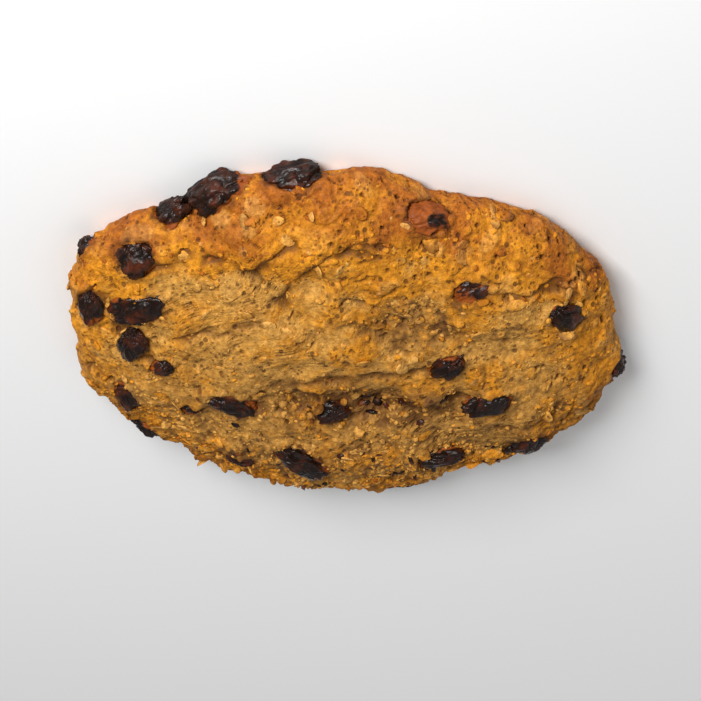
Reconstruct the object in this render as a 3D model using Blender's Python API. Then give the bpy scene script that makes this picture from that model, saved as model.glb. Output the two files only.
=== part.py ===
"""Oatmeal raisin cookie: one baked drop of oat dough with raisins sunk into its top and its rim.

Metres, +Z up. The flat underside rests on z = 0 with the middle of the cookie's box over the
origin. +Y is the high crusty rim, and the torn hollow lies on the -Y side of the middle.
"""

import math

import bmesh
import bpy
import numpy as np
from mathutils import Euler, Matrix, Vector, noise

MM = 0.001

# Driving dimensions, in millimetres.
LENGTH = 86.0  # along X, before the swells and flats of the outline
DEPTH = 75.0  # along Y, before the swells and flats
CENTRE_HEIGHT = 12.6
BELLY_HEIGHT = 4.2  # where the rim is widest
UNDERCUT = 0.075  # how far the rim curls in under itself, as a share of its radius
DOME_POWER = 2.7  # higher is flatter on top and steeper at the rim
GAP = 0.35  # between a raisin and its pocket

# The mesh of the dough: squares across the top, and rows round the curl of the rim.
TOP_SQUARES = 34
CURL_ROWS = 3

# Swells (+) and flats (-) of the outline: angle and width in degrees, height in millimetres.
OUTLINE_SWELLS = (
    (150.0, 17.0, 4.8),
    (112.0, 9.0, 2.4),
    (126.0, 6.0, -1.8),
    (88.0, 14.0, 1.6),
    (66.0, 10.0, -2.2),
    (34.0, 16.0, 1.3),
    (2.0, 12.0, -0.5),
    (334.0, 14.0, 1.2),
    (303.0, 9.0, -0.8),
    (272.0, 14.0, 0.8),
    (250.0, 10.0, -0.6),
    (218.0, 17.0, -2.6),
)

# Broad lumps and hollows of the top: x, y, radius along X, radius along Y, height, all in millimetres.
TOP_LUMPS = (
    (-12.0, 30.0, 14.0, 6.0, 1.0),
    (9.0, 32.0, 9.0, 5.0, 0.8),
    (-6.0, 19.5, 4.5, 6.0, -1.0),
    (-20.0, 7.0, 9.0, 7.0, 0.6),
    (2.0, -7.5, 15.0, 4.6, -2.1),
    (12.0, -5.6, 3.4, 2.8, 1.7),
    (10.0, 13.0, 8.0, 6.0, -0.7),
    (-2.0, -24.0, 15.0, 5.0, 0.6),
    (27.0, 17.0, 8.0, 7.0, 0.7),
    (31.0, -9.0, 8.0, 8.0, 0.6),
    (21.0, 2.0, 4.0, 6.0, -0.9),
    (20.0, -22.0, 7.0, 5.0, -0.7),
)

# Cracks of the crust: three points of a curve (x, y), width and depth, in millimetres.
TOP_CRACKS = (
    ((-31.0, 23.0), (-23.0, 29.0), (-14.0, 23.5), 1.5, 0.8),
    ((-8.0, 31.0), (-12.5, 28.5), (-14.0, 23.5), 1.4, 0.7),
    ((5.0, 30.5), (-7.0, 30.0), (-10.5, 16.5), 1.5, 0.9),
    ((-27.0, 9.0), (-21.0, 11.5), (-14.0, 13.5), 1.4, 0.6),
    ((-12.0, -2.5), (2.0, 0.0), (14.0, 2.5), 1.5, 0.9),
    ((18.0, 22.0), (27.0, 17.0), (33.0, 19.0), 1.5, 0.8),
    ((24.0, -14.0), (31.0, -16.0), (34.0, -10.0), 1.5, 0.8),
)

# Unevenness of the crust: spread and swing of each size of lump, in millimetres.
CRUST_UNEVENNESS = ((9.0, 1.1), (4.5, 0.7))
RIM_UNEVENNESS = ((8.0, 1.0), (4.0, 0.5))

# Raisins: angle round the cookie, reach (0 middle, 1 widest line of the rim, 2 underside), turn
# on the surface, all angles in degrees; then length, width, thickness and sink in millimetres.
# Sink is how deep the raisin's middle lies under the crust.
RAISINS = (
    (142.5, 0.915, 70.0, 6.6, 5.8, 4.6, 0.3),
    (161.5, 0.930, 92.0, 7.2, 3.8, 3.8, 0.5),
    (154.5, 0.765, 30.0, 9.0, 4.4, 4.0, 0.5),
    (169.0, 0.780, 78.0, 7.2, 4.0, 3.8, 0.6),
    (176.5, 0.680, 20.0, 3.8, 3.2, 3.0, 0.6),
    (200.0, 0.475, -33.0, 9.4, 5.2, 4.4, 0.6),
    (200.0, 0.645, 15.0, 3.4, 3.0, 3.0, 0.7),
    (194.0, 0.860, 106.0, 7.2, 3.6, 3.8, 0.8),
    (211.5, 0.970, 127.0, 7.4, 3.8, 4.0, 0.6),
    (234.0, 0.785, -12.0, 5.2, 3.4, 3.2, 0.8),
    (250.5, 0.630, -42.0, 10.2, 5.6, 4.6, 0.4),
    (255.5, 0.270, 10.0, 5.4, 4.4, 3.8, 0.3),
    (10.0, 0.370, 50.0, 6.8, 4.8, 4.2, 0.7),
    (303.0, 0.715, 8.0, 8.0, 4.2, 3.8, 0.8),
    (102.5, 1.120, 12.0, 9.0, 5.8, 5.4, 0.1),
    (118.5, 1.120, 30.0, 9.0, 5.4, 5.2, 0.1),
    (132.0, 1.150, 44.0, 7.0, 4.8, 4.6, 0.0),
    (151.0, 1.120, 62.0, 5.0, 3.8, 3.8, 0.5),
    (47.0, 0.700, 35.0, 8.4, 5.0, 4.4, 0.6),
    (20.0, 0.850, -50.0, 7.6, 4.8, 4.2, 0.5),
    (344.0, 0.550, 15.0, 8.4, 4.8, 4.2, 0.6),
    (325.0, 0.870, 60.0, 7.4, 4.6, 4.2, 0.3),
    (352.0, 1.000, 82.0, 6.4, 4.6, 4.4, 0.4),
    (70.5, 0.975, -24.0, 7.4, 5.0, 4.8, 0.8),
    (283.0, 1.080, 14.0, 7.2, 4.8, 4.4, 0.5),
    (238.0, 1.080, 146.0, 6.4, 4.2, 4.2, 0.6),
)
RIM_TILT = 0.35  # how far a raisin on the rim's wall leans back from upright
RAISIN_AROUND = 10
RAISIN_ROWS = 6
RAISIN_WRINKLE = 0.16  # the most that a dent takes off its radius


def outline(theta):
    """Radius of the widest line at an angle: an ellipse with its swells and flats added."""
    ellipse = 1.0 / np.hypot(np.cos(theta) * 2 / LENGTH, np.sin(theta) * 2 / DEPTH)
    for angle, width, height in OUTLINE_SWELLS:
        apart = (np.degrees(theta) - angle + 180.0) % 360.0 - 180.0
        ellipse = ellipse + height * np.exp(-((apart / width) ** 2))
    return ellipse


def crack_distance(x, y, start, middle, end):
    """Distance from (x, y) to a curve bent from start past middle to end."""
    nearest = 1e9
    for step in np.linspace(0.0, 1.0, 15):
        a, b, c = (1 - step) ** 2, 2 * step * (1 - step), step**2
        px = a * start[0] + b * middle[0] + c * end[0]
        py = a * start[1] + b * middle[1] + c * end[1]
        nearest = min(nearest, math.hypot(x - px, y - py))
    return nearest


def relief(x, y, reach):
    """How far the crust stands above or below the plain dome, fading out down the rim."""
    height = 0.0
    for lump_x, lump_y, radius_x, radius_y, lump in TOP_LUMPS:
        away = ((x - lump_x) / radius_x) ** 2 + ((y - lump_y) / radius_y) ** 2
        height += lump * math.exp(-away)
    for start, middle, end, width, depth in TOP_CRACKS:
        away = crack_distance(x, y, start, middle, end) / width
        height -= depth * math.exp(-away * away)
    for spread, swing in CRUST_UNEVENNESS:
        height += swing * noise.noise(Vector((x, y, spread)) / spread)
    return height * (1.0 - reach**6)


def rim_swing(theta, height):
    """How far the rim's wall stands in or out at an angle and a height."""
    across = (LENGTH + DEPTH) / 4
    spot = Vector((across * math.cos(theta), across * math.sin(theta), height))
    return sum(swing * noise.noise(spot / spread) for spread, swing in RIM_UNEVENNESS)


def curl_point(theta, turn):
    """The point of the rim below its widest line: a quarter of an ellipse in to the underside."""
    height = BELLY_HEIGHT * (1 - math.sin(turn))
    radius = float(outline(theta)) * (1 - UNDERCUT * (1 - math.cos(turn))) + rim_swing(theta, height)
    return Vector((radius * math.cos(theta), radius * math.sin(theta), height))


def crust_point(theta, reach):
    """The point of the crust at an angle and a reach: 0 the middle, 1 the widest line, 2 the underside."""
    if reach > 1.0:
        return curl_point(theta, (reach - 1.0) * math.pi / 2)
    radius = reach * float(outline(theta)) + rim_swing(theta, BELLY_HEIGHT) * reach**8
    x, y = radius * math.cos(theta), radius * math.sin(theta)
    dome = (CENTRE_HEIGHT - BELLY_HEIGHT) * math.sqrt(max(0.0, 1.0 - reach**DOME_POWER))
    return Vector((x, y, BELLY_HEIGHT + dome + relief(x, y, reach)))


def crust_normal(theta, reach):
    """The outward direction of the crust, from two short steps on it."""
    step = 0.03
    if reach > 1.0 - step:
        return Vector((math.cos(theta), math.sin(theta), RIM_TILT)).normalized()
    inner = crust_point(theta, max(reach - step, 0.0))
    outer = crust_point(theta, reach + step)
    left, right = crust_point(theta + step, reach), crust_point(theta - step, reach)
    return (outer - inner).cross(left - right).normalized()


def disc_place(u, v):
    """Angle and ring share of a square's point (u, v), each from -1 to 1, laid on a disc."""
    ring = max(abs(u), abs(v))
    if ring < 1e-9:
        return 0.0, 0.0
    if abs(u) >= abs(v):
        return (math.pi / 4) * (v / u) + (math.pi if u < 0 else 0.0), ring
    return math.pi / 2 - (math.pi / 4) * (u / v) + (math.pi if v < 0 else 0.0), ring


def material(name, colour, roughness):
    made = bpy.data.materials.new(name)
    made.use_nodes = True
    shader = made.node_tree.nodes["Principled BSDF"]
    shader.inputs["Base Color"].default_value = (*colour, 1.0)
    shader.inputs["Roughness"].default_value = roughness
    shader.inputs["Metallic"].default_value = 0.0
    return made


def new_object(name, form, finish):
    """The object of a bmesh modelled in millimetres, shaded smooth, with its scale applied."""
    form.transform(Matrix.Scale(MM, 4))
    mesh = bpy.data.meshes.new(name)
    form.to_mesh(mesh)
    form.free()
    mesh.shade_smooth()
    mesh.materials.append(finish)
    made = bpy.data.objects.new(name, mesh)
    bpy.context.scene.collection.objects.link(made)
    return made


def curl_under(form):
    """Rows from the widest line down round the curl of the rim, and the flat underside."""
    edge = [e for e in form.edges if e.is_boundary]
    for row in range(1, CURL_ROWS + 1):
        grown = bmesh.ops.extrude_edge_only(form, edges=edge)["geom"]
        edge = [g for g in grown if isinstance(g, bmesh.types.BMEdge) and g.is_boundary]
        turn = row / CURL_ROWS * math.pi / 2
        below = {v for e in edge for v in e.verts}
        for vertex in below:
            vertex.co = curl_point(math.atan2(vertex.co.y, vertex.co.x), turn)
    bmesh.ops.edgeloop_fill(form, edges=edge)


def dough_form():
    """A square grid laid over the top as a disc, then the curled rim and the flat underside."""
    form = bmesh.new()
    bmesh.ops.create_grid(form, x_segments=TOP_SQUARES, y_segments=TOP_SQUARES, size=1.0)
    for vertex in form.verts:
        theta, ring = disc_place(vertex.co.x, vertex.co.y)
        reach = math.sin(ring * math.pi / 2) ** (2 / DOME_POWER)
        vertex.co = crust_point(theta, min(reach, 1.0))
    curl_under(form)
    bmesh.ops.recalc_face_normals(form, faces=form.faces)
    return form


def raisin_form(seat, half_sizes, seed, swell):
    """A lumpy ellipsoid with shallow wrinkles along its length, laid in its seat on the crust."""
    form = bmesh.new()
    bmesh.ops.create_uvsphere(form, u_segments=RAISIN_AROUND, v_segments=RAISIN_ROWS, radius=1.0)
    form.transform(Matrix.Rotation(math.pi / 2, 4, "Y"))
    for vertex in form.verts:
        dent = noise.noise(vertex.co * 1.6 + Vector((seed * 5.3, 0.0, 0.0)))
        size = 1.0 - RAISIN_WRINKLE * (0.5 + 0.5 * dent)
        vertex.co = Vector(c * half * size * swell for c, half in zip(vertex.co, half_sizes))
    form.transform(seat)
    return form


def raisin_seat(theta, reach, turn, sink):
    """Where a raisin lies: sunk in the crust, its thickness along the crust's normal."""
    outward = crust_normal(theta, reach)
    place = crust_point(theta, reach) - outward * sink
    lie = outward.to_track_quat("Z", "Y").to_matrix().to_4x4()
    along = lie.inverted() @ Vector((math.cos(turn), math.sin(turn), 0.0))
    spin = Euler((0.0, 0.0, math.atan2(along.y, along.x))).to_matrix().to_4x4()
    return Matrix.Translation(place) @ lie @ spin


def add_raisins(dough, skin):
    """Each raisin, and the pocket that it leaves in the dough."""
    made = []
    for index, row in enumerate(RAISINS, start=1):
        angle, reach, turn, length, width, thickness, sink = row
        seat = raisin_seat(math.radians(angle), reach, math.radians(turn), sink)
        half_sizes = (length / 2, width / 2, thickness / 2)
        name = f"raisin_{index:02d}"
        made.append(new_object(name, raisin_form(seat, half_sizes, index, 1.0), skin))
        swell = 1.0 + GAP / min(half_sizes)
        pocket = new_object(f"pocket_{index:02d}", raisin_form(seat, half_sizes, index, swell), skin)
        pocket.hide_render = True
        pocket.display_type = "WIRE"
        cut = dough.modifiers.new(f"pocket {index:02d}", "BOOLEAN")
        cut.operation = "DIFFERENCE"
        cut.solver = "EXACT"
        cut.object = pocket
    return made


def centre_on_origin(objects):
    """Moves every object by the same step, so that the middle of the cookie's box is over the origin."""
    shown = [o for o in objects if not o.hide_render]
    points = np.array([v.co for o in shown for v in o.data.vertices])
    middle = (points.min(axis=0) + points.max(axis=0)) / 2
    for each in objects:
        each.data.transform(Matrix.Translation((-middle[0], -middle[1], 0.0)))


for old in list(bpy.data.objects):
    bpy.data.objects.remove(old, do_unlink=True)

crust = material("baked oat dough", (0.47, 0.20, 0.04), 0.8)
raisin_skin = material("raisin skin", (0.035, 0.014, 0.012), 0.45)
cookie = new_object("cookie", dough_form(), crust)
add_raisins(cookie, raisin_skin)
centre_on_origin(list(bpy.context.scene.objects))
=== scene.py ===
import math

import bpy
import numpy as np
from mathutils import Matrix, Vector


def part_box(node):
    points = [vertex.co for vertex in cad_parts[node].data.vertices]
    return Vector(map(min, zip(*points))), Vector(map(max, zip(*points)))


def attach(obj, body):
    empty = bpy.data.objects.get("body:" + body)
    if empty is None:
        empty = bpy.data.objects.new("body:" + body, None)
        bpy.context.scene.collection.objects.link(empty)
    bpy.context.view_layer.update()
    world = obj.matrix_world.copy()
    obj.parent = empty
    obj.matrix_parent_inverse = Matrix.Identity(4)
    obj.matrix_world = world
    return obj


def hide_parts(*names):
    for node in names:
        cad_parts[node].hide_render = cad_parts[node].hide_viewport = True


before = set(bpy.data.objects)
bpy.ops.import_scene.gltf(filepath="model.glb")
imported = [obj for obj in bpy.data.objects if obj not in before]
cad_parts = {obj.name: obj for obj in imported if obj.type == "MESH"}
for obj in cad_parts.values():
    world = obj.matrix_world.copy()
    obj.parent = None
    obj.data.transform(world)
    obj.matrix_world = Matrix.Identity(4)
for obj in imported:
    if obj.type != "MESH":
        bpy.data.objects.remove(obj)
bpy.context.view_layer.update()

# ---------------------------------------------------------------------------------------------
# The dough. A scoop of oat, flour, butter and brown sugar dough that spread and set on a tray:
# a golden crust over the top and the rim, tan pitted crumb where it stayed soft or tore open, and
# a flat browned underside. It is one piece, worked out in millimetres from the baked outline.
# ---------------------------------------------------------------------------------------------
MM = 0.001
LENGTH = 86.0  # along X, before the swells and flats of the outline
DEPTH = 75.0  # along Y
CENTRE_HEIGHT = 12.6
BELLY_HEIGHT = 4.2  # where the rim is widest
UNDERCUT = 0.075  # how far the rim curls in under itself, as a share of its radius
DOME_POWER = 2.7  # higher is flatter on top and steeper at the rim
TOP_SQUARES = 256
CURL_ROWS = 12
BASE_SQUARES = TOP_SQUARES // 2
CLUMP_SPACING = 5.2
COARSE_GRAIN = 1.7
FINE_GRAIN = 0.9
PIT_SPACING = 1.9
DRAWN_OUT = (1.0, 0.68, 1.0)  # the grain of the crumb is drawn out a little along Y
RELIEF_FLAKES = 260  # oat flakes that only bulge under the crust
LIP_HEIGHT = 0.75  # of the dough that swells up round a raisin

# Swells and flats of the outline: angle and width in degrees, height in millimetres.
OUTLINE_SWELLS = (
    (150.0, 17.0, 4.8),
    (112.0, 9.0, 2.4),
    (126.0, 6.0, -1.8),
    (88.0, 14.0, 1.6),
    (66.0, 10.0, -2.2),
    (34.0, 16.0, 1.3),
    (2.0, 12.0, -0.5),
    (334.0, 14.0, 1.2),
    (303.0, 9.0, -0.8),
    (272.0, 14.0, 0.8),
    (250.0, 10.0, -0.6),
    (218.0, 17.0, -2.6),
)

# Broad lumps and hollows of the top: x, y, radius along X, radius along Y, height.
TOP_LUMPS = (
    (-12.0, 30.0, 14.0, 6.0, 1.0),
    (9.0, 32.0, 9.0, 5.0, 0.8),
    (-6.0, 19.5, 4.5, 6.0, -1.0),
    (-20.0, 7.0, 9.0, 7.0, 0.6),
    (2.0, -7.5, 15.0, 4.6, -2.1),
    (12.0, -5.6, 3.4, 2.8, 1.7),
    (10.0, 13.0, 8.0, 6.0, -0.7),
    (-2.0, -24.0, 15.0, 5.0, 0.6),
    (27.0, 17.0, 8.0, 7.0, 0.7),
    (31.0, -9.0, 8.0, 8.0, 0.6),
    (21.0, 2.0, 4.0, 6.0, -0.9),
    (20.0, -22.0, 7.0, 5.0, -0.7),
)

# Cracks of the crust: three points of a bent line, then width and depth.
TOP_CRACKS = (
    ((-31.0, 23.0), (-23.0, 29.0), (-14.0, 23.5), 0.8, 1.1),
    ((-8.0, 31.0), (-12.5, 28.5), (-14.0, 23.5), 0.7, 1.0),
    ((5.0, 30.5), (-7.0, 30.0), (-10.5, 16.5), 0.8, 1.2),
    ((-3.0, 28.5), (1.0, 30.0), (5.0, 28.0), 0.6, 0.8),
    ((-27.0, 9.0), (-21.0, 11.5), (-14.0, 13.5), 0.7, 0.8),
    ((-12.0, -2.5), (2.0, 0.0), (14.0, 2.5), 0.9, 1.3),
    ((-41.0, 14.5), (-36.0, 15.5), (-29.0, 14.5), 1.3, 1.6),
    ((-34.5, 16.0), (-37.0, 11.0), (-33.0, 5.0), 1.3, 1.5),
    ((-33.5, 7.0), (-32.0, 3.5), (-28.0, 1.5), 0.9, 1.2),
    ((-29.0, -10.5), (-24.0, -7.5), (-18.0, -9.0), 0.7, 0.9),
    ((18.0, 22.0), (27.0, 17.0), (33.0, 19.0), 0.8, 1.0),
    ((24.0, -14.0), (31.0, -16.0), (34.0, -10.0), 0.8, 1.0),
)


def lattice_random(cell, salt):
    """A number from 0 to 1 for each whole-number cell (n, 3): its coordinates mixed bit by bit."""
    c = cell.astype(np.int64).astype(np.uint32)
    h = c[:, 0] * np.uint32(73856093) ^ c[:, 1] * np.uint32(19349663) ^ c[:, 2] * np.uint32(83492791)
    h = h ^ np.uint32((salt * 2654435761) % 2**32)
    for shift, factor in ((16, 2246822519), (13, 3266489917)):
        h = (h ^ (h >> np.uint32(shift))) * np.uint32(factor)
    return (h ^ (h >> np.uint32(16))).astype(np.float64) / 2**32


def soft_noise(points, spread, salt):
    """Smooth random swell from about -1 to 1: at each corner of a lattice of side `spread` stands a
    random slope, and the eight slopes round a point are blended by a curve that is level at both ends."""
    place = points / spread
    low = np.floor(place)
    part = place - low
    ease = part**3 * (part * (part * 6 - 15) + 10)
    total = np.zeros(len(points))
    for corner in np.ndindex(2, 2, 2):
        cell = low + corner
        away = part - corner
        slope = sum((lattice_random(cell, salt + k) * 2 - 1) * away[:, k] for k in range(3))
        total += slope * np.prod(np.where(corner, ease, 1 - ease), axis=1)
    return total * 1.6


def grains(points, size, salt):
    """Grains packed in space, one for each lattice cell: the distances to the nearest and the next
    grain's middle, in grain sizes, and the nearest grain's own random number."""
    place = points / size
    low = np.floor(place)
    nearest = np.full(len(points), 9.0)
    second = np.full(len(points), 9.0)
    number = np.zeros(len(points))
    for corner in np.ndindex(3, 3, 3):
        cell = low + corner - 1
        middle = cell + np.stack([lattice_random(cell, salt + k) for k in range(3)], axis=1)
        away = np.linalg.norm(place - middle, axis=1)
        closer = away < nearest
        second = np.where(closer, nearest, np.minimum(second, away))
        number = np.where(closer, lattice_random(cell, salt + 3), number)
        nearest = np.where(closer, away, nearest)
    return nearest, second, number


def step_up(value, low, high):
    """0 below low, 1 above high, and a curve that is level at both ends between them."""
    t = np.clip((value - low) / (high - low), 0, 1)
    return t * t * (3 - 2 * t)


def rim_radius(theta):
    """Radius of the widest line: an ellipse, with a bell-shaped swell or flat at each named angle."""
    radius = 1.0 / np.hypot(np.cos(theta) * 2 / LENGTH, np.sin(theta) * 2 / DEPTH)
    for angle, width, height in OUTLINE_SWELLS:
        apart = (np.degrees(theta) - angle + 180.0) % 360.0 - 180.0
        radius = radius + height * np.exp(-((apart / width) ** 2))
    return radius


def line_distance(x, y, start, middle, end):
    """Distance from each (x, y) to the line bent from start past middle to end."""
    t = np.linspace(0.0, 1.0, 41)[:, None]
    line = (1 - t) ** 2 * np.array(start) + 2 * t * (1 - t) * np.array(middle) + t**2 * np.array(end)
    away = np.full(x.shape, 1e9)
    for px, py in line:
        away = np.minimum(away, np.hypot(x - px, y - py))
    return away


def broad_relief(x, y):
    """Sum of the bell-shaped lumps and hollows of the top."""
    height = np.zeros(x.shape)
    for lump_x, lump_y, radius_x, radius_y, lump in TOP_LUMPS:
        height += lump * np.exp(-(((x - lump_x) / radius_x) ** 2 + ((y - lump_y) / radius_y) ** 2))
    return height


def crack_relief(x, y):
    """How deep the cracks of the crust cut: grooves of bell-shaped section, which wander by up to a
    millimetre and open and close along their length."""
    place = np.stack([x, y, 0 * x], -1)
    x, y = x + 1.0 * soft_noise(place, 2.6, 181), y + 1.0 * soft_noise(place, 2.6, 191)
    depth = np.zeros(x.shape)
    for start, middle, end, width, deep in TOP_CRACKS:
        depth += deep * np.exp(-((line_distance(x, y, start, middle, end) / width) ** 2))
    return depth * np.clip(0.7 + 1.0 * soft_noise(place, 3.4, 197), 0, 1.3)


def disc_grid(squares):
    """A grid of squares over -1 to 1 laid on a disc: rings of squares become circles. Angle and ring."""
    line = np.linspace(-1.0, 1.0, squares + 1)
    u, v = np.meshgrid(line, line, indexing="ij")
    ring = np.maximum(np.abs(u), np.abs(v))
    safe_u, safe_v = np.where(u == 0, 1, u), np.where(v == 0, 1, v)
    flat = (math.pi / 4) * v / safe_u + np.where(u < 0, math.pi, 0.0)
    steep = math.pi / 2 - (math.pi / 4) * u / safe_v + np.where(v < 0, math.pi, 0.0)
    return np.where(np.abs(u) >= np.abs(v), flat, steep).ravel(), ring.ravel()


def grid_edge(squares):
    """The indices of a grid's outer points, once round from the corner at (-1, -1), anticlockwise."""
    index = np.arange((squares + 1) ** 2).reshape(squares + 1, squares + 1)
    return np.concatenate([index[:-1, 0], index[-1, :-1], index[:0:-1, -1], index[0, :0:-1]])


def grid_triangles(squares, start, upward):
    """Two triangles for each square of a grid whose points begin at index start."""
    index = np.arange((squares + 1) ** 2).reshape(squares + 1, squares + 1) + start
    a, b, c, d = index[:-1, :-1], index[1:, :-1], index[1:, 1:], index[:-1, 1:]
    both = np.concatenate([np.stack([a, b, c], -1).reshape(-1, 3), np.stack([a, c, d], -1).reshape(-1, 3)])
    return both if upward else both[:, ::-1]


def band_triangles(upper, lower):
    """Triangles of a band between two loops of equal length, the lower loop outside or beneath."""
    up, down = np.roll(upper, -1), np.roll(lower, -1)
    return np.concatenate([np.stack([upper, lower, down], -1), np.stack([upper, down, up], -1)])


def halving_triangles(outer, inner):
    """Triangles between a loop and one inside it with half as many points."""
    a, b, c = outer[0::2], outer[1::2], np.roll(outer, -2)[0::2]
    after = np.roll(inner, -1)
    rows = (np.stack([a, b, inner], -1), np.stack([b, after, inner], -1), np.stack([b, c, after], -1))
    return np.concatenate(rows)


def dome_points(theta, ring):
    """Top: radius is the rim's times reach, and the height over the belly falls off as
    sqrt(1 - reach ^ DOME_POWER), so the dome is flat in the middle and upright at the rim."""
    reach = np.clip(np.sin(ring * math.pi / 2), 0, 1) ** (2 / DOME_POWER)
    radius = reach * rim_radius(theta)
    x, y = radius * np.cos(theta), radius * np.sin(theta)
    dome = (CENTRE_HEIGHT - BELLY_HEIGHT) * np.sqrt(np.clip(1.0 - reach**DOME_POWER, 0, 1))
    fade = 1.0 - reach**6
    height = BELLY_HEIGHT + dome + (broad_relief(x, y) - crack_relief(x, y)) * fade
    return np.stack([x, y, height], -1)


def curl_points(theta, turn):
    """Rim below its widest line: a quarter of an ellipse from the belly in to the underside."""
    radius = rim_radius(theta) * (1 - UNDERCUT * (1 - np.cos(turn)))
    height = BELLY_HEIGHT * (1 - np.sin(turn))
    return np.stack([radius * np.cos(theta), radius * np.sin(theta), height + 0 * theta], -1)


def dough_shell():
    """The closed shell of the dough: the domed top, the curl of the rim row by row, and the flat
    underside on a coarser grid, joined by one band in which the points halve."""
    theta, ring = disc_grid(TOP_SQUARES)
    points = [dome_points(theta, ring)]
    faces = [grid_triangles(TOP_SQUARES, 0, upward=True)]
    loop = grid_edge(TOP_SQUARES)
    edge_theta = theta[loop]
    count = len(theta)
    for row in range(1, CURL_ROWS + 1):
        points.append(curl_points(edge_theta, row / CURL_ROWS * math.pi / 2))
        below = np.arange(len(loop)) + count
        faces.append(band_triangles(loop, below))
        loop, count = below, count + len(below)
    theta, ring = disc_grid(BASE_SQUARES)
    radius = rim_radius(theta) * (1 - UNDERCUT) * ring * (1 - 2 / TOP_SQUARES)
    points.append(np.stack([radius * np.cos(theta), radius * np.sin(theta), 0 * theta], -1))
    faces.append(grid_triangles(BASE_SQUARES, count, upward=False))
    faces.append(halving_triangles(loop, grid_edge(BASE_SQUARES) + count))
    return np.concatenate(points), np.concatenate(faces)


def point_normals(points, faces):
    """The outward direction at each point: the sum of its triangles' normals, made one long."""
    corners = points[faces]
    normal = np.cross(corners[:, 1] - corners[:, 0], corners[:, 2] - corners[:, 0])
    total = np.zeros(points.shape)
    for axis, corner in np.ndindex(3, 3):
        total[:, axis] += np.bincount(faces[:, corner], normal[:, axis], len(points))
    return total / np.maximum(np.linalg.norm(total, axis=1, keepdims=True), 1e-12)


def flake_relief(points, normals, count, seed):
    """Oat flakes just under the crust: at random points an oval plateau with soft edges and one side
    lifted. Height of the tallest flake at each point, and how much of a flake's pale face shows."""
    dice = np.random.default_rng(seed)
    height, pale = np.zeros(len(points)), np.zeros(len(points))
    for spot in dice.choice(len(points), count, replace=False):
        along = np.cross(normals[spot], dice.normal(size=3))
        along /= np.linalg.norm(along)
        across = np.cross(normals[spot], along)
        away = points - points[spot]
        u = away @ along / dice.uniform(1.8, 3.4)
        v = away @ across / dice.uniform(1.2, 2.2)
        w = away @ normals[spot] / 2.5
        face = step_up(1.0 - np.sqrt(u * u + v * v + w * w), 0.0, 0.32)
        groove = 0.25 * np.exp(-((v / 0.16) ** 2))
        lift = face * (dice.uniform(0.25, 0.6) * (1 + dice.uniform(0, 0.5) * u) - groove * 0.5)
        height = np.maximum(height, lift)
        pale = np.maximum(pale, face * dice.uniform(0.0, 0.8) ** 3)
    return height, pale


def raisin_frames():
    """For each raisin of the fixed frame: its middle, its three axes (long, wide, thick) as columns
    and its half sizes, in millimetres, from the spread of its solid's points."""
    found = {}
    for name in sorted(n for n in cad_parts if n.startswith("raisin_")):
        low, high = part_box(name)
        middle = np.array((low + high) / 2) / MM
        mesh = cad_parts[name].data
        flat = np.empty(len(mesh.vertices) * 3)
        mesh.vertices.foreach_get("co", flat)
        away = flat.reshape(-1, 3) / MM - middle
        axes = np.linalg.svd(away - away.mean(0), full_matrices=False)[2].T
        if np.linalg.det(axes) < 0:
            axes[:, 2] *= -1
        found[name] = (middle, axes, np.abs(away @ axes).max(0))
    return found


def press_pockets(points, normals, raisins):
    """Presses the dough down under each raisin: a point within the raisin's ellipsoid moves straight
    in until it lies on the ellipsoid's far side. The ellipsoid's size wanders, and the dough round it
    swells up in a low torn lip, so that the skin is gripped unevenly. Returns how dark to paint the
    dough: painted shade where it is pressed under a raisin and in the crevice at its edge, and a wider
    patchy ring that is partly the raisin's stain and partly painted shade."""
    pressed_shade_and_stain = np.zeros(len(points))
    for order, (middle, axes, half) in enumerate(raisins.values()):
        near = np.linalg.norm(points - middle, axis=1) < half[0] + 3.0
        inward = -normals[near].sum(0)
        inward /= np.linalg.norm(inward)
        spots = points[near]
        ragged = 1.0 + 0.14 * soft_noise(spots, 1.8, 900 + order)[:, None]
        q = (spots - middle) @ axes / (half * ragged + 0.1)
        d = inward @ axes / (half + 0.1)
        a, b, c = d @ d, q @ d, (q * q).sum(1) - 1.0
        go = np.where(c < 0, (-b + np.sqrt(np.maximum(b * b - a * c, 0))) / a, 0.0)
        reach = np.sqrt((q * q).sum(1))
        lip = LIP_HEIGHT * np.exp(-(((reach - 1.22) / 0.2) ** 2)) * (c >= 0)
        lip *= np.clip(0.55 + 1.1 * soft_noise(spots, 2.2, 940 + order), 0, 1.3)
        points[near] = spots + inward * (go - lip)[:, None]
        # Painted shade on the dough pressed in under the raisin.
        pressed_shade_and_stain[near] = np.maximum(pressed_shade_and_stain[near], step_up(go, 0.0, 0.5))
        # A patchy ring round the raisin, partly its stain and partly painted shade, and painted shade in the
        # crevice at its edge.
        patchy = np.clip(0.6 + soft_noise(spots, 1.7, 970 + order), 0, 1)
        stain_and_shade = 0.8 * patchy * step_up(1.5 - reach, 0.0, 0.42)
        crevice_shade = 0.6 * step_up(1.14 - reach, 0.0, 0.12)
        pressed_shade_and_stain[near] = np.maximum(pressed_shade_and_stain[near], np.maximum(stain_and_shade, crevice_shade))
    return pressed_shade_and_stain


def unit_ball(rows, around):
    """The points of a ball of radius 1 on a grid of latitude and longitude, the two poles last."""
    along, turn = np.meshgrid(
        np.linspace(0, math.pi, rows + 2)[1:-1],
        np.linspace(0, 2 * math.pi, around, endpoint=False), indexing="ij")
    ball = np.stack([np.cos(along), np.sin(along) * np.cos(turn), np.sin(along) * np.sin(turn)], -1)
    return np.concatenate([ball.reshape(-1, 3), [[1.0, 0, 0], [-1.0, 0, 0]]])


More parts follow.
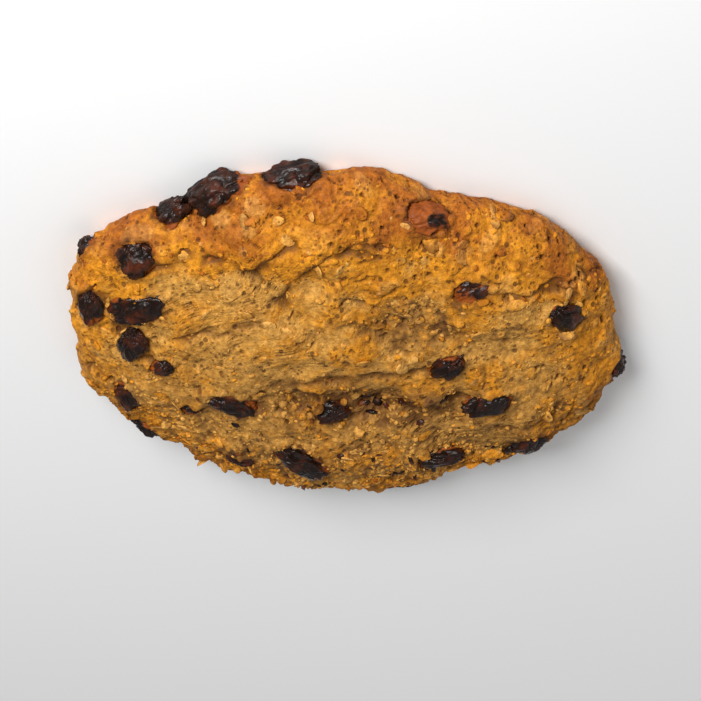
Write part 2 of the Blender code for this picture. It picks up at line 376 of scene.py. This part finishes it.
def ball_faces(rows, around):
    """Faces of a grid that closes round, with the two poles last."""
    index = np.arange(rows * around).reshape(rows, around)
    a, b = index[:-1], index[1:]
    c, d = np.roll(b, -1, 1), np.roll(a, -1, 1)
    sides = np.concatenate([np.stack([a, b, c], -1).reshape(-1, 3), np.stack([a, c, d], -1).reshape(-1, 3)])
    first, last = rows * around, rows * around + 1
    top = np.stack([np.full(around, first), index[0], np.roll(index[0], -1)], -1)
    bottom = np.stack([np.full(around, last), np.roll(index[-1], -1), index[-1]], -1)
    return np.concatenate([sides, top, bottom])


def scattered(dice, ball, seats, outward, half, sink, lean, dent, curl):
    """A copy of the ball at each seat, stretched to its own half sizes and turned at random about a
    direction that leans a little from the crust's. Each radius is dented at random, and the ends
    curl up by the square of the distance along. Points (seats, ball, 3)."""
    up = outward + lean * dice.normal(size=outward.shape)
    up /= np.linalg.norm(up, axis=1, keepdims=True)
    along = np.cross(up, dice.normal(size=up.shape))
    along /= np.linalg.norm(along, axis=1, keepdims=True)
    frames = np.stack([along, np.cross(up, along), up], -1)
    dents = 1.0 + dent * dice.uniform(-1, 1, (len(seats), len(ball)))
    shape = ball[None] * dents[..., None] * half[:, None]
    shape[..., 2] += curl * (shape[..., 0] ** 2 - 0.3 * half[:, None, 0] ** 2)
    return np.einsum("nij,nkj->nki", frames, shape) + (seats - outward * sink[:, None])[:, None]


def new_piece(name, points, faces, attributes=()):
    """A smooth-shaded mesh object from points in millimetres, with one number a point for each
    named attribute."""
    mesh = bpy.data.meshes.new(name)
    mesh.from_pydata(points * MM, [], faces)
    for label, values in attributes:
        mesh.attributes.new(label, "FLOAT", "POINT").data.foreach_set("value", values.astype(np.float32))
    mesh.shade_smooth()
    piece = bpy.data.objects.new(name, mesh)
    bpy.context.scene.collection.objects.link(piece)
    return piece


raisins = raisin_frames()
shell, dough_faces = dough_shell()
cookie_low, cookie_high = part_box("cookie")
centring = np.array((cookie_low + cookie_high) / 2) / MM - (shell.max(0) + shell.min(0)) / 2
centring[2] = 0.0
smooth_dough = shell + centring
dough_out = point_normals(smooth_dough, dough_faces)

# Where the looks lie, from 0 to 1: share grows from the middle to the widest line, under is the
# underside, band the golden crust along the high rim, and torn where the crust broke open.
x, y, z = shell.T
share = np.hypot(x, y) / rim_radius(np.arctan2(y, x))
under = step_up(-dough_out[:, 2], 0.6, 0.98)
band = step_up(y + 0.10 * x, 17.0, 24.0) * (1 - under)
torn = np.exp(-(((x - 3.0) / 16.0) ** 2 + ((y + 8.0) / 4.8) ** 2) ** 2)
torn = np.maximum(torn, 0.7 * np.exp(-(((x - 10.0) / 8.0) ** 2 + ((y - 13.0) / 6.0) ** 2) ** 2))
torn = np.clip(torn * (1.0 + 0.8 * soft_noise(shell, 3.0, 131)), 0, 1)

# The relief: broad swells, flakes under the crust, clumps with gaps between them, coarse and fine
# beads of crumb, pits, and splits where a wandering line opens here and there.
swell = 0.9 * soft_noise(shell, 9.0, 11) + 0.7 * soft_noise(shell * (1.0, 0.75, 1.0), 4.0, 23)
flake_height, flake_pale = flake_relief(shell, dough_out, RELIEF_FLAKES, 5)
wander = np.stack([soft_noise(shell, 2.4, 300 + k) for k in range(3)], -1)
grainy = shell * DRAWN_OUT
nearest_clump, next_clump, clump_number = grains(shell + 0.9 * wander, CLUMP_SPACING, 31)
gap_between = step_up(0.13 - (next_clump - nearest_clump), 0.0, 0.13) * (clump_number > 0.6)
gap_between *= 0.3 + 0.7 * torn
coarse, _, coarse_number = grains(grainy + 0.35 * wander, COARSE_GRAIN, 41)
fine, _, fine_number = grains(grainy, FINE_GRAIN, 59)
coarse_bead = (1.0 - step_up(coarse, 0.1, 0.8)) * (0.35 + 0.9 * coarse_number)
fine_bead = (1.0 - step_up(fine, 0.1, 0.8)) * (0.3 + fine_number)
pit, _, pit_number = grains(grainy, PIT_SPACING, 83)
pits = step_up(0.11 + 0.16 * pit_number - pit, 0.0, 0.07) * (pit_number > 0.15)
coarseness = 0.45 + 1.0 * torn + 0.35 * step_up(-y, 10.0, 24.0) - 0.1 * band
coarseness *= 1 + 0.45 * soft_noise(shell, 6.0, 171)
split_line = np.abs(soft_noise(shell + 0.8 * wander, 6.5, 101))
splits = np.exp(-((split_line / 0.045) ** 2)) * step_up(soft_noise(shell, 7.0, 113), 0.05, 0.4)
granules = coarseness * (0.50 * (coarse_bead - 0.45) + 0.36 * (fine_bead - 0.35))
chunks = torn * (0.9 * (1.0 - step_up(nearest_clump, 0.15, 0.6)) - 0.6) * (0.4 + clump_number)

# Each point moves out along its own direction by the sum, and hardly at all on the underside.
flaky = 0.25 + 0.45 * np.maximum(band, step_up(share, 0.7, 0.9))
rise = swell + flaky * flake_height + granules + chunks
rise -= 0.8 * pits * (1 + 0.6 * torn) + 0.5 * gap_between + 0.6 * splits
points = smooth_dough + dough_out * (rise * (1.0 - 0.93 * under))[:, None]
points[:, 2] = np.maximum(points[:, 2], 0.0)
raisin_shade_and_stain = press_pockets(points, dough_out, raisins)
points[:, 2] = np.maximum(points[:, 2], 0.0)

# The low places are darkened with painted shade: pits, gaps between clumps, splits, cracks, dips
# between beads, patches of the torn crumb and the -Y half; round each raisin it is painted shade
# with some stain. Toast runs from tan through golden to brown.
crack_shade = np.clip(crack_relief(x, y), 0, 1) * step_up(z, 3.0, 6.0)
hollow = 0.9 * pits + 0.7 * gap_between + 0.8 * splits + 1.2 * crack_shade + 1.1 * raisin_shade_and_stain
hollow += step_up(-granules, -0.05, 0.45) + 0.8 * torn * step_up(soft_noise(shell, 2.2, 211), -0.15, 0.3)
# Painted shade over the -Y half of the top, deepest towards -Y.
hollow += 0.27 * step_up(-y, -3.0, 10.0) * (1 - under)
hollow = np.clip(hollow, 0, 1)
toast = 0.10 + 0.50 * band + 0.45 * step_up(share, 0.72, 0.98) + 0.20 * swell - 0.3 * torn
toast += 0.42 * soft_noise(shell, 10.0, 151) + 0.55 * (granules + 0.1)
toast = np.clip(toast, 0, 1.3) * (1 - under) + under
dough_fields = {"toast": toast, "hollow": hollow, "oat": flake_pale, "torn": torn, "under": under}
dough = new_piece("dough", points, dough_faces, dough_fields.items())


def linear(red, green, blue):
    """A colour as seen on a screen, 0 to 255, turned to the linear values a shader takes."""
    c = np.array([red, green, blue]) / 255
    return (*np.where(c <= 0.04045, c / 12.92, ((c + 0.055) / 1.055) ** 2.4), 1.0)


TAN = linear(210, 155, 74)
GOLDEN = linear(216, 142, 26)
BROWN = linear(168, 94, 16)
TORN_CRUMB = linear(136, 90, 36)
PALE_OAT = linear(232, 176, 96)
# Brown of painted shade in pores and low places, and of the stain round raisins.
SHADE_AND_STAIN_BROWN = linear(72, 36, 10)


class Finish:
    """A material and short ways to add its nodes."""

    def __init__(self, name):
        self.material = bpy.data.materials.new(name)
        self.material.use_nodes = True
        self.tree = self.material.node_tree
        self.shader = self.tree.nodes["Principled BSDF"]

    def add(self, kind, settings=(), **inputs):
        made = self.tree.nodes.new("ShaderNode" + kind)
        for label, value in dict(settings).items():
            setattr(made, label, value)
        for label, value in inputs.items():
            self.put(value, made.inputs[label.replace("_", " ")])
        return made

    def put(self, value, socket):
        if isinstance(value, bpy.types.NodeSocket):
            self.tree.links.new(value, socket)
        else:
            socket.default_value = value

    def field(self, label):
        return self.add("Attribute", {"attribute_name": label}).outputs["Fac"]

    def place(self):
        """Object coordinates, with the grain drawn out a little along Y."""
        place = self.add("TexCoord").outputs["Object"]
        node = self.add("VectorMath", {"operation": "MULTIPLY"})
        self.put(place, node.inputs[0])
        self.put((1.0, 0.72, 1.0), node.inputs[1])
        return node.outputs["Vector"]

    def noise(self, scale, detail=3.0, rough=0.55):
        made = self.add("TexNoise", Vector=self.place(), Scale=scale, Detail=detail, Roughness=rough)
        return made.outputs["Fac"]

    def speck(self, scale):
        return self.add("TexVoronoi", Vector=self.place(), Scale=scale).outputs["Distance"]

    def remap(self, value, low, high, to_low=0.0, to_high=1.0):
        node = self.add("MapRange", {"interpolation_type": "SMOOTHSTEP"}, Value=value)
        for label, number in (("From Min", low), ("From Max", high), ("To Min", to_low), ("To Max", to_high)):
            node.inputs[label].default_value = number
        return node.outputs["Result"]

    def maths(self, operation, first, second):
        node = self.add("Math", {"operation": operation})
        self.put(first, node.inputs[0])
        self.put(second, node.inputs[1])
        return node.outputs[0]

    def mix(self, share, first, second, blend="MIX"):
        node = self.add("Mix", {"data_type": "RGBA", "blend_type": blend})
        self.put(share, node.inputs[0])
        self.put(first, node.inputs[6])
        self.put(second, node.inputs[7])
        return node.outputs[2]


def dough_finish():
    """Tan crumb, golden where toasted and brown at the toast's height; pale oats; painted shade in
    hollows and pores, with some stain round raisins, and painted highlight on the grain's tops.
    """
    f = Finish("baked dough")
    mottle = f.noise(300.0, 4.0, 0.6)
    toast = f.maths("ADD", f.field("toast"), f.maths("MULTIPLY", f.maths("SUBTRACT", mottle, 0.5), 1.1))
    colour = f.mix(f.remap(toast, 0.0, 0.55), TAN, GOLDEN)
    colour = f.mix(f.remap(toast, 0.55, 1.25), colour, BROWN)
    colour = f.mix(f.maths("MULTIPLY", f.field("torn"), 0.55), colour, TORN_CRUMB)
    colour = f.mix(f.maths("MULTIPLY", f.field("oat"), 0.8), colour, PALE_OAT)
    # The fine grain also lifts the bump, so the colour is darkened in its dips as painted shade and lightened
    # on its tops as painted highlight.
    grain = f.noise(1300.0, 3.0, 0.65)
    painted_grain_shading = f.mix(f.remap(grain, 0.28, 0.75), (0.60, 0.53, 0.38, 1), (1.18, 1.18, 1.16, 1))
    colour = f.mix(1.0, colour, painted_grain_shading, "MULTIPLY")
    few, many = f.remap(f.noise(260.0), 0.46, 0.58), f.remap(f.noise(340.0), 0.42, 0.56)
    wide_pores = f.maths("MULTIPLY", f.remap(f.speck(620.0), 0.30, 0.16), few)
    fine_pores = f.maths("MULTIPLY", f.remap(f.speck(1250.0), 0.34, 0.16), many)
    pores = f.maths("MAXIMUM", wide_pores, f.maths("MULTIPLY", fine_pores, 0.8))
    # The pores are dented by the bump and darkened as painted shade; the hollow field adds painted shade in
    # low places, with the stain round raisins.
    colour = f.mix(f.maths("MULTIPLY", pores, 0.75), colour, SHADE_AND_STAIN_BROWN)
    colour = f.mix(f.maths("MULTIPLY", f.field("hollow"), 0.8), colour, SHADE_AND_STAIN_BROWN)
    colour = f.mix(f.maths("MULTIPLY", f.field("under"), 0.7), colour, BROWN)
    f.put(colour, f.shader.inputs["Base Color"])
    f.put(f.remap(f.noise(900.0), 0.3, 0.7, 0.55, 0.8), f.shader.inputs["Roughness"])
    f.shader.inputs["Specular IOR Level"].default_value = 0.25
    swells = f.maths("ADD", grain, f.maths("MULTIPLY", f.noise(3600.0, 2.0), 0.4))
    bump = f.add("Bump", Height=f.maths("SUBTRACT", swells, f.maths("MULTIPLY", pores, 0.7)))
    bump.inputs["Strength"].default_value = 0.6
    bump.inputs["Distance"].default_value = 0.0005
    f.put(bump.outputs["Normal"], f.shader.inputs["Normal"])
    return f.material


baked_dough = dough_finish()
dough.data.materials.append(baked_dough)
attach(dough, "root")
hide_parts("cookie")

# ---------------------------------------------------------------------------------------------
# Crumbs. Small grains of the same dough that dried into separate beads on the crust, thickest
# where it tore. Each is a lumpy flattened ball, half sunk, toasted like the crust under it.
# ---------------------------------------------------------------------------------------------
CRUMBS = 3000
CRUMB_ROWS = 3
CRUMB_AROUND = 8


def dough_seats(dice, count, weight):
    """The indices of random points of the dough's crust, the likelier the greater their weight."""
    weight = weight * (points[:, 2] > 1.2) * (under < 0.1)
    return dice.choice(len(points), count, replace=False, p=weight / weight.sum())


def topping(name, shape, ball_grid, seats, fields, finish):
    """One piece of all the scattered copies, with painted shade where a copy meets the crust."""
    copies, corners = shape.shape[:2]
    shape[..., 2] = np.maximum(shape[..., 2], 0.0)
    above = ((shape - points[seats][:, None]) * crust_out[seats][:, None]).sum(-1)
    faces = (ball_grid[None] + corners * np.arange(copies)[:, None, None]).reshape(-1, 3)
    spread = {label: np.repeat(values, corners) for label, values in fields.items()}
    # Painted shade where a copy sinks into the crust.
    spread["hollow"] = step_up(0.1 - above, 0.0, 0.35).ravel() * 0.8
    piece = new_piece(name, shape.reshape(-1, 3), faces, spread.items())
    piece.data.materials.append(finish)
    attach(piece, "root")


crust_out = point_normals(points, dough_faces)
dice = np.random.default_rng(17)
clusters = 0.15 + step_up(soft_noise(shell, 4.0, 401), -0.2, 0.4)
clusters *= (0.35 + torn + 0.6 * step_up(-y, 8.0, 22.0)) * (1 - 0.6 * band)
clusters *= 1 - 0.75 * step_up(share, 0.8, 0.97)
seats = dough_seats(dice, CRUMBS, clusters * (1 - 0.93 * step_up(raisin_shade_and_stain, 0.5, 0.8)))
crumb_size = 0.20 + 0.40 * dice.uniform(size=CRUMBS) ** 2.5 + 0.15 * torn[seats]
crumb_size += 0.55 * torn[seats] * (dice.uniform(size=CRUMBS) > 0.9)
crumb_half = crumb_size[:, None] * (1.25, 0.95, 0.62)
crumb_shape = scattered(
    dice, unit_ball(CRUMB_ROWS, CRUMB_AROUND), points[seats], crust_out[seats], crumb_half,
    0.3 * crumb_size, lean=0.35, dent=0.25, curl=0.0)
pale_crumb = (dice.uniform(size=CRUMBS) > 0.92) * dice.uniform(0.2, 0.7, CRUMBS)
crumb_toast = toast[seats] + dice.normal(size=CRUMBS) * 0.28
topping(
    "crumbs", crumb_shape, ball_faces(CRUMB_ROWS, CRUMB_AROUND), seats,
    {"toast": crumb_toast, "oat": pale_crumb, "torn": torn[seats], "under": 0 * crumb_toast},
    baked_dough)

# ---------------------------------------------------------------------------------------------
# Oat flakes. Oats rolled flat and cut small, coated in dough and baked into the crust: thin
# curled ovals lying nearly flat, some pale where the coat is thin and some as brown as the crust.
# ---------------------------------------------------------------------------------------------
FLAKES = 190
FLAKE_ROWS = 7
FLAKE_AROUND = 14

inland = 1 - 0.85 * step_up(share, 0.86, 0.97)
seats = dough_seats(dice, FLAKES, inland * (1 - 0.3 * torn) * (1 - 0.97 * step_up(raisin_shade_and_stain, 0.3, 0.7)))
flake_half = dice.uniform((0.9, 0.65, 0.20), (2.1, 1.45, 0.34), (FLAKES, 3))
flake_shape = scattered(
    dice, unit_ball(FLAKE_ROWS, FLAKE_AROUND), points[seats], crust_out[seats], flake_half,
    dice.uniform(0.08, 0.3, FLAKES), lean=0.2, dent=0.08, curl=0.06)
paleness = dice.uniform(size=FLAKES) ** 3.5
flake_toast = toast[seats] + dice.normal(size=FLAKES) * 0.25
topping(
    "oat_flakes", flake_shape, ball_faces(FLAKE_ROWS, FLAKE_AROUND), seats,
    {"toast": flake_toast, "oat": paleness, "torn": 0 * paleness, "under": 0 * paleness},
    baked_dough)

# ---------------------------------------------------------------------------------------------
# Raisins. Dried grapes baked into the crust: flattened, puckered into long folds with sharp
# valleys between them, nearly black, red brown where the skin is thin, with a soft uneven shine.
# ---------------------------------------------------------------------------------------------
RAISIN_AROUND = 96
RAISIN_ROWS = 59
RAISIN_FULLNESS = 1.12  # the folds and dents take this much off again
FULLER = {"raisin_02": 1.25, "raisin_03": 1.35, "raisin_04": 1.3, "raisin_15": 1.2, "raisin_16": 1.25}
COVERED = {"raisin_24": 1.2, "raisin_07": 0.5, "raisin_05": 0.4}  # how far dough lies over the skin
SKIN = linear(26, 13, 7)
THIN_SKIN = linear(88, 38, 16)
# The skin's colour as painted shade in the fold valleys.
VALLEY_SHADE_SKIN = linear(15, 8, 5)
DARK_FILM = linear(92, 38, 10)
LIGHT_FILM = linear(164, 84, 20)


def raisin_points(half, salt):
    """A ball with its radius dented by long folds, which are rounded ridges between the lines where a
    stretched noise crosses nought, then by finer puckers. Also how deep between two folds each point
    lies, for the painted shade in the valleys."""
    ball = unit_ball(RAISIN_ROWS, RAISIN_AROUND)
    warp = 0.3 * np.stack([soft_noise(ball, 0.8, salt + k) for k in range(3)], -1)
    folds = np.abs(soft_noise(ball * (0.7, 1.0, 1.0) + warp, 0.60, salt + 5)) ** 0.7
    puckers = np.abs(soft_noise(ball * (0.8, 1, 1) + warp, 0.24, salt + 9)) ** 0.8
    lobes = 0.24 * soft_noise(ball, 1.1, salt + 13)
    radius = 0.84 + lobes + 0.32 * folds + 0.13 * puckers
    return ball * radius[:, None] * half, 1.0 - np.clip(folds * 1.6, 0, 1)


def raisin_finish():
    """Nearly black skin, red brown in patches where the skin is thin, and darker in the valleys between
    folds as painted shade; where a film of dough covers it the skin shows through as a dull reddish brown."""
    f = Finish("raisin skin")
    tone = f.noise(420.0, 3.0, 0.6)
    colour = f.mix(f.remap(tone, 0.42, 0.78), SKIN, THIN_SKIN)
    # Painted shade in the valleys between the folds.
    colour = f.mix(f.maths("MULTIPLY", f.field("valley_shade"), 0.6), colour, VALLEY_SHADE_SKIN)
    film = f.maths("ADD", f.field("film"), f.maths("SUBTRACT", f.noise(700.0), 0.5))
    film = f.remap(film, 0.35, 0.65)
    colour = f.mix(film, colour, f.mix(f.noise(1200.0), DARK_FILM, LIGHT_FILM))
    f.put(colour, f.shader.inputs["Base Color"])
    gloss = f.remap(f.noise(700.0), 0.3, 0.7, 0.18, 0.45)
    f.put(f.maths("ADD", gloss, f.maths("MULTIPLY", film, 0.3)), f.shader.inputs["Roughness"])
    f.shader.inputs["Specular IOR Level"].default_value = 0.22
    bump = f.add("Bump", Height=f.noise(2600.0, 3.0))
    bump.inputs["Strength"].default_value = 0.4
    bump.inputs["Distance"].default_value = 0.0002
    f.put(bump.outputs["Normal"], f.shader.inputs["Normal"])
    return f.material


raisin_skin = raisin_finish()
raisin_faces = ball_faces(RAISIN_ROWS, RAISIN_AROUND)
for order, (name, (middle, axes, half)) in enumerate(raisins.items()):
    nearest = np.argmin(((smooth_dough - middle) ** 2).sum(1))
    shape, valley_shade = raisin_points(half * FULLER.get(name, RAISIN_FULLNESS), 200 + 20 * order)
    place = shape @ axes.T + middle
    place[:, 2] = np.maximum(place[:, 2], 0.0)
    above = (place - smooth_dough[nearest]) @ dough_out[nearest]
    smear = COVERED.get(name, 0.0) + 0.55 * soft_noise(place, 2.0, 800 + order)
    film = np.clip(smear + 0.45 - above / 1.3, 0, 1)
    piece = new_piece(name + "_skin", place, raisin_faces, (("valley_shade", valley_shade), ("film", film)))
    piece.data.materials.append(raisin_skin)
    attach(piece, "root")
    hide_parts(name)

# ---------------------------------------------------------------------------------------------
# Raisin bits. Scraps of raisin that the mixing tore off, far smaller than a raisin: dark lumps
# wedged in the torn crumb and here and there in the lower crust.
# ---------------------------------------------------------------------------------------------
BITS = 48
BIT_ROWS = 5
BIT_AROUND = 10

low_crust = step_up(-y, 12.0, 24.0)
likely = (0.01 + 1.6 * torn + 0.25 * low_crust) * (share < 0.9) * (y < 4.0)
seats = dough_seats(dice, BITS, likely * (raisin_shade_and_stain < 0.1))
bit_half = dice.uniform(0.35, 1.0, BITS)[:, None] * dice.uniform((1.0, 0.6, 0.4), (1.7, 0.9, 0.6), (BITS, 3))
bit_shape = scattered(
    dice, unit_ball(BIT_ROWS, BIT_AROUND), points[seats], crust_out[seats], bit_half,
    dice.uniform(0.0, 0.2, BITS), lean=0.3, dent=0.22, curl=0.0)
topping(
    "raisin_bits", bit_shape, ball_faces(BIT_ROWS, BIT_AROUND), seats,
    {"valley_shade": dice.uniform(size=BITS), "film": dice.uniform(0.0, 0.5, BITS)}, raisin_skin)

# ---------------------------------------------------------------------------------------------
# The table, the lamps and the camera: a plain pale floor, soft white studio light from the rim's
# side, and a long lens that looks down on the top over the high rim, with that rim at the top.
# ---------------------------------------------------------------------------------------------
FLOOR = 3.0  # half the side
WORLD_LIGHT = 0.26
CAMERA_DISTANCE = 0.62
CAMERA_ELEVATION = math.radians(38.0)
CAMERA_LENS = 200.0
LOOK_AT = Vector((0.0, -0.001, 0.006))


def add_floor():
    mesh = bpy.data.meshes.new("floor")
    corners = [(-FLOOR, -FLOOR, 0), (FLOOR, -FLOOR, 0), (FLOOR, FLOOR, 0), (-FLOOR, FLOOR, 0)]
    mesh.from_pydata(corners, [], [(0, 1, 2, 3)])
    floor = bpy.data.objects.new("floor", mesh)
    bpy.context.scene.collection.objects.link(floor)
    f = Finish("pale floor")
    f.shader.inputs["Base Color"].default_value = (0.86, 0.86, 0.86, 1)
    f.shader.inputs["Roughness"].default_value = 0.7
    mesh.materials.append(f.material)


def add_lamp(name, place, size, watts):
    lamp = bpy.data.lights.new(name, "AREA")
    lamp.size = size
    lamp.energy = watts
    made = bpy.data.objects.new(name, lamp)
    made.location = place
    made.rotation_euler = (LOOK_AT - Vector(place)).to_track_quat("-Z", "Y").to_euler()
    bpy.context.scene.collection.objects.link(made)


def add_camera():
    """Looks down over the +Y rim and is turned upside down, so that +Y is up in the picture."""
    lens = bpy.data.cameras.new("camera")
    lens.lens = CAMERA_LENS
    camera = bpy.data.objects.new("camera", lens)
    towards = Vector((0.0, math.cos(CAMERA_ELEVATION), math.sin(CAMERA_ELEVATION)))
    up = Vector((0.0, math.sin(CAMERA_ELEVATION), -math.cos(CAMERA_ELEVATION)))
    turn = Matrix((Vector((1, 0, 0)), up, towards)).transposed().to_4x4()
    camera.matrix_world = Matrix.Translation(LOOK_AT + towards * CAMERA_DISTANCE) @ turn
    bpy.context.scene.collection.objects.link(camera)
    bpy.context.scene.camera = camera


add_floor()
add_lamp("key", (-0.16, 0.42, 0.25), 0.22, 3.5)
add_lamp("fill", (0.30, -0.20, 0.45), 0.60, 0.6)
world = bpy.data.worlds.new("studio")
bpy.context.scene.world = world
world.use_nodes = True
world.node_tree.nodes["Background"].inputs["Color"].default_value = (1, 1, 1, 1)
world.node_tree.nodes["Background"].inputs["Strength"].default_value = WORLD_LIGHT
bpy.context.scene.view_settings.view_transform = "Standard"
add_camera()
